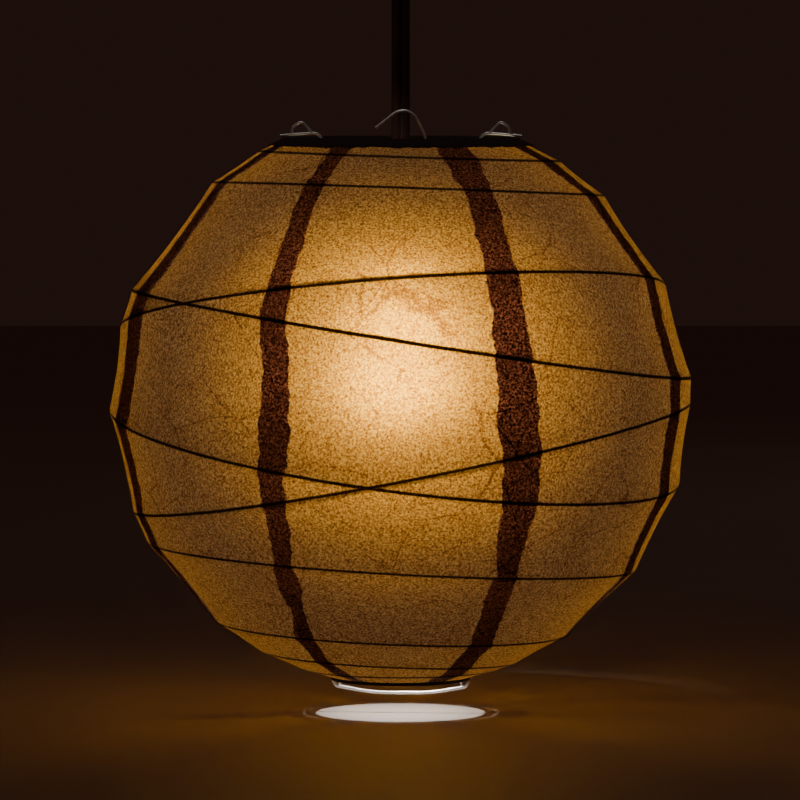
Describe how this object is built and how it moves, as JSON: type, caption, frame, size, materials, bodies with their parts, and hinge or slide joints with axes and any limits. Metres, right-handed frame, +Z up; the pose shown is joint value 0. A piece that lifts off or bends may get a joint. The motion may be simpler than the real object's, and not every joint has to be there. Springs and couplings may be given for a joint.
{
  "type": "paper pendant lantern",
  "caption": "Round hanging paper lantern with tilted ribs on a wire expander around a bulb, collapsing like an accordion.",
  "frame": {"origin": "centre of the ceiling bracket's top face, where it meets the ceiling", "axes": "+Z up into the ceiling, -Y towards the front of the lantern, +X to its right"},
  "size_m": [0.406, 0.406, 0.5271],
  "materials": {
    "bamboo_rib": "dark stained split bamboo",
    "binding_thread": "matt thread",
    "black_glass": "fused black glass",
    "black_phenolic": "moulded, slightly glossy",
    "brass": "rolled brass",
    "bright_wire": "bright galvanised wire",
    "ceramic": "unglazed porcelain",
    "clear_glass": "clear",
    "cord_pvc": "flat twin flexible cord",
    "cup_plastic": "moulded, satin",
    "dark_paper_tape": "matt bluish black paper tape",
    "frosted_glass": "etched inside, lit",
    "hoop_wire": "dull drawn steel wire",
    "kraft_paper": "matt fibrous mulberry paper, translucent",
    "lead_wire": "drawn wire",
    "nickel_brass": "nickel plated brass",
    "tungsten": "glowing",
    "zinc_plate": "zinc plated sheet",
    "zinc_screw": "zinc plated"
  },
  "bodies": {
    "frame": {"ceiling_bracket": "zinc_plate", "ceiling_cord_grip": "black_phenolic", "ceiling_cup": "cup_plastic", "centre_contact": "brass", "cup_screws": "zinc_screw", "expander_arm_left": "bright_wire", "expander_arm_right": "bright_wire", "expander_eye": "bright_wire", "expander_foot": "bright_wire", "expander_leg_left": "bright_wire", "expander_leg_right": "bright_wire", "gore_1": "kraft_paper", "gore_2": "kraft_paper", "gore_3": "kraft_paper", "gore_4": "kraft_paper", "gore_5": "kraft_paper", "gore_6": "kraft_paper", "gore_7": "kraft_paper", "gore_8": "kraft_paper", "hanging_hook": "bright_wire", "holder_body": "black_phenolic", "holder_cap": "black_phenolic", "holder_cord_grip": "black_phenolic", "pendant_cord": "cord_pvc", "screw_shell": "brass", "skirt_ring": "black_phenolic", "terminal_block": "ceramic", "top_collar": "dark_paper_tape", "top_hoop": "hoop_wire"},
    "bottom_hoop": {"bottom_hoop": "hoop_wire", "bottom_binding": "dark_paper_tape"},
    "rib_1_tie": {"rib_1_tie": "binding_thread"},
    "rib_1": {"rib_1": "bamboo_rib"},
    "rib_2_tie": {"rib_2_tie": "binding_thread"},
    "rib_2": {"rib_2": "bamboo_rib"},
    "rib_3_tie": {"rib_3_tie": "binding_thread"},
    "rib_3": {"rib_3": "bamboo_rib"},
    "rib_4_tie": {"rib_4_tie": "binding_thread"},
    "rib_4": {"rib_4": "bamboo_rib"},
    "rib_5_tie": {"rib_5_tie": "binding_thread"},
    "rib_5": {"rib_5": "bamboo_rib"},
    "rib_6_tie": {"rib_6_tie": "binding_thread"},
    "rib_6": {"rib_6": "bamboo_rib"},
    "rib_7_tie": {"rib_7_tie": "binding_thread"},
    "rib_7": {"rib_7": "bamboo_rib"},
    "rib_8_tie": {"rib_8_tie": "binding_thread"},
    "rib_8": {"rib_8": "bamboo_rib"},
    "rib_9_tie": {"rib_9_tie": "binding_thread"},
    "rib_9": {"rib_9": "bamboo_rib"},
    "rib_10": {"rib_10": "bamboo_rib"},
    "bulb": {"bulb_tip": "brass", "bulb_insulator": "black_glass", "bulb_cap": "nickel_brass", "bulb_glass": "frosted_glass", "bulb_stem": "clear_glass", "bulb_lead_wires": "lead_wire", "bulb_filament": "tungsten"}
  },
  "joints": [
    {"name": "shade_collapse", "type": "slide", "parent": "frame", "child": "bottom_hoop", "axis": [0, 0, 1], "range_m": [0, 0.325], "deforming": ["gore_1", "gore_2", "gore_3", "gore_4", "gore_5", "gore_6", "gore_7", "gore_8"]},
    {"name": "rib_1_lift", "type": "slide", "parent": "frame", "child": "rib_1_tie", "axis": [0, 0, 1], "range_m": [0, 0.0059]},
    {"name": "rib_1_flatten", "type": "hinge", "parent": "rib_1_tie", "child": "rib_1", "pos_m": [0.006, 0.00109, -0.1515], "axis": [0.1789, -0.9839, 0], "range_deg": [0, 1.97]},
    {"name": "rib_2_lift", "type": "slide", "parent": "frame", "child": "rib_2_tie", "axis": [0, 0, 1], "range_m": [0, 0.0285]},
    {"name": "rib_2_flatten", "type": "hinge", "parent": "rib_2_tie", "child": "rib_2", "pos_m": [0.00525, 0.00432, -0.1747], "axis": [0.6357, -0.7719, 0], "range_deg": [0, 2.57]},
    {"name": "rib_3_lift", "type": "slide", "parent": "frame", "child": "rib_3_tie", "axis": [0, 0, 1], "range_m": [0, 0.09524]},
    {"name": "rib_3_flatten", "type": "hinge", "parent": "rib_3_tie", "child": "rib_3", "pos_m": [-0.00505, 0.00957, -0.25684], "axis": [0.8842, 0.467, 0], "range_deg": [0, 9.17]},
    {"name": "rib_4_lift", "type": "slide", "parent": "frame", "child": "rib_4_tie", "axis": [0, 0, 1], "range_m": [0, 0.1172]},
    {"name": "rib_4_flatten", "type": "hinge", "parent": "rib_4_tie", "child": "rib_4", "pos_m": [0.00762, 0.00058, -0.275], "axis": [0.0762, -0.9971, 0], "range_deg": [0, 8.18]},
    {"name": "rib_5_lift", "type": "slide", "parent": "frame", "child": "rib_5_tie", "axis": [0, 0, 1], "range_m": [0, 0.18499]},
    {"name": "rib_5_flatten", "type": "hinge", "parent": "rib_5_tie", "child": "rib_5", "pos_m": [-0.00414, 0.00293, -0.35289], "axis": [-0.5777, -0.8163, 0], "range_deg": [0, 8.25]},
    {"name": "rib_6_lift", "type": "slide", "parent": "frame", "child": "rib_6_tie", "axis": [0, 0, 1], "range_m": [0, 0.19448]},
    {"name": "rib_6_flatten", "type": "hinge", "parent": "rib_6_tie", "child": "rib_6", "pos_m": [0.00775, 0.00052, -0.36048], "axis": [-0.0665, 0.9978, 0], "range_deg": [0, 10.16]},
    {"name": "rib_7_lift", "type": "slide", "parent": "frame", "child": "rib_7_tie", "axis": [0, 0, 1], "range_m": [0, 0.25332]},
    {"name": "rib_7_flatten", "type": "hinge", "parent": "rib_7_tie", "child": "rib_7", "pos_m": [-0.00639, -0.00123, -0.43002], "axis": [0.1895, -0.9819, 0], "range_deg": [0, 3.37]},
    {"name": "rib_8_lift", "type": "slide", "parent": "frame", "child": "rib_8_tie", "axis": [0, 0, 1], "range_m": [0, 0.29698]},
    {"name": "rib_8_flatten", "type": "hinge", "parent": "rib_8_tie", "child": "rib_8", "pos_m": [-0.00681, 0.00116, -0.47961], "axis": [-0.1683, -0.9857, 0], "range_deg": [0, 2.43]},
    {"name": "rib_9_lift", "type": "slide", "parent": "frame", "child": "rib_9_tie", "axis": [0, 0, 1], "range_m": [0, 0.31457]},
    {"name": "rib_9_flatten", "type": "hinge", "parent": "rib_9_tie", "child": "rib_9", "pos_m": [-0.00881, -0.00096, -0.49959], "axis": [0.1081, -0.9941, 0], "range_deg": [0, 2.7]},
    {"name": "rib_10_lift", "type": "slide", "parent": "frame", "child": "rib_10", "axis": [0, 0, 1], "range_m": [0, 0.32242]},
    {"name": "bulb_turn", "type": "hinge", "parent": "frame", "child": "bulb", "pos_m": [0, 0, -0.246], "axis": [0, 0, 1], "range_deg": [0, 1080]}
  ],
  "couplings": [
    {"joint": "rib_1_lift", "follows": "shade_collapse", "ratio": 0.016629},
    {"joint": "rib_1_flatten", "follows": "shade_collapse", "rad_per_m": 0.10316},
    {"joint": "rib_2_lift", "follows": "shade_collapse", "ratio": 0.086154},
    {"joint": "rib_2_flatten", "follows": "shade_collapse", "rad_per_m": 0.13544},
    {"joint": "rib_3_lift", "follows": "shade_collapse", "ratio": 0.2915},
    {"joint": "rib_3_flatten", "follows": "shade_collapse", "rad_per_m": 0.48994},
    {"joint": "rib_4_lift", "follows": "shade_collapse", "ratio": 0.35909},
    {"joint": "rib_4_flatten", "follows": "shade_collapse", "rad_per_m": 0.43633},
    {"joint": "rib_5_lift", "follows": "shade_collapse", "ratio": 0.56767},
    {"joint": "rib_5_flatten", "follows": "shade_collapse", "rad_per_m": 0.44027},
    {"joint": "rib_6_lift", "follows": "shade_collapse", "ratio": 0.59687},
    {"joint": "rib_6_flatten", "follows": "shade_collapse", "rad_per_m": 0.54278},
    {"joint": "rib_7_lift", "follows": "shade_collapse", "ratio": 0.7779},
    {"joint": "rib_7_flatten", "follows": "shade_collapse", "rad_per_m": 0.17842},
    {"joint": "rib_8_lift", "follows": "shade_collapse", "ratio": 0.91225},
    {"joint": "rib_8_flatten", "follows": "shade_collapse", "rad_per_m": 0.12791},
    {"joint": "rib_9_lift", "follows": "shade_collapse", "ratio": 0.96638},
    {"joint": "rib_9_flatten", "follows": "shade_collapse", "rad_per_m": 0.14227},
    {"joint": "rib_10_lift", "follows": "shade_collapse", "ratio": 0.99052}
  ]
}
